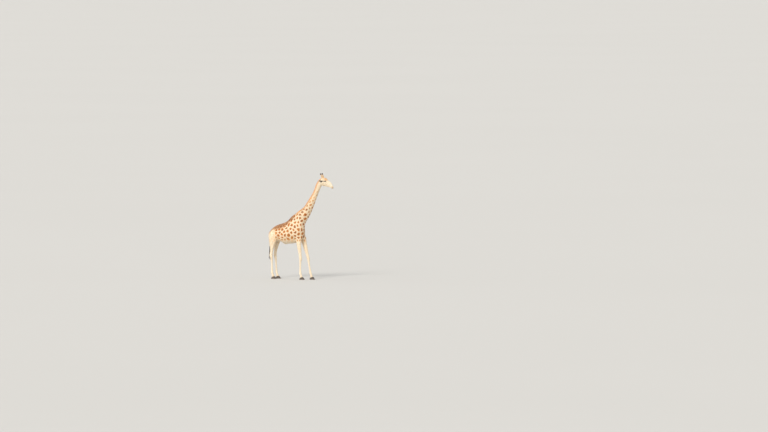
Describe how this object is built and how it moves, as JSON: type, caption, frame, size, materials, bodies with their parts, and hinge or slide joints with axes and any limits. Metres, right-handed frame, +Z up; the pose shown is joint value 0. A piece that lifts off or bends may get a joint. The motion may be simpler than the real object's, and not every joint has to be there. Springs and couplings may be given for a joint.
{
  "type": "giraffe, life-size still model",
  "caption": "Life-size still model of a young bull giraffe, standing with one foreleg a short step ahead, neck leaning forwards and head held a little below level.",
  "frame": {"origin": "on the ground, under the middle of the animal's length and width", "axes": "+X the way the animal faces, +Y towards its left side, +Z up"},
  "size_m": [3.0732, 0.626, 4.4711],
  "materials": {
    "coat": "short, flat, matt hair: cream ground with orange-brown blotches that have darker middles, paling on the neck, belly and legs",
    "mane": "short stiff upright orange-brown hair",
    "tuft": "long coarse black hair",
    "horn": "skin-covered bone with short hair, cream shafts and dark tufted tips",
    "hoof": "dull dark horn, slightly ridged",
    "eye": "wet, glossy, near-black brown"
  },
  "bodies": {
    "root": {"trunk": "coat", "neck": "coat", "head": "coat", "eye_left": "eye", "ear_left": "coat", "ossicone_left": "horn", "eye_right": "eye", "ear_right": "coat", "ossicone_right": "horn", "fore_leg_left_upper": "coat", "fore_leg_left_lower": "coat", "hoof_fore_left_inner": "hoof", "hoof_fore_left_outer": "hoof", "fore_leg_right_upper": "coat", "fore_leg_right_lower": "coat", "hoof_fore_right_inner": "hoof", "hoof_fore_right_outer": "hoof", "hind_leg_left_upper": "coat", "hind_leg_left_lower": "coat", "hoof_hind_left_inner": "hoof", "hoof_hind_left_outer": "hoof", "hind_leg_right_upper": "coat", "hind_leg_right_lower": "coat", "hoof_hind_right_inner": "hoof", "hoof_hind_right_outer": "hoof", "mane": "mane", "tail": "coat", "tail_tuft": "tuft"}
  },
  "joints": []
}
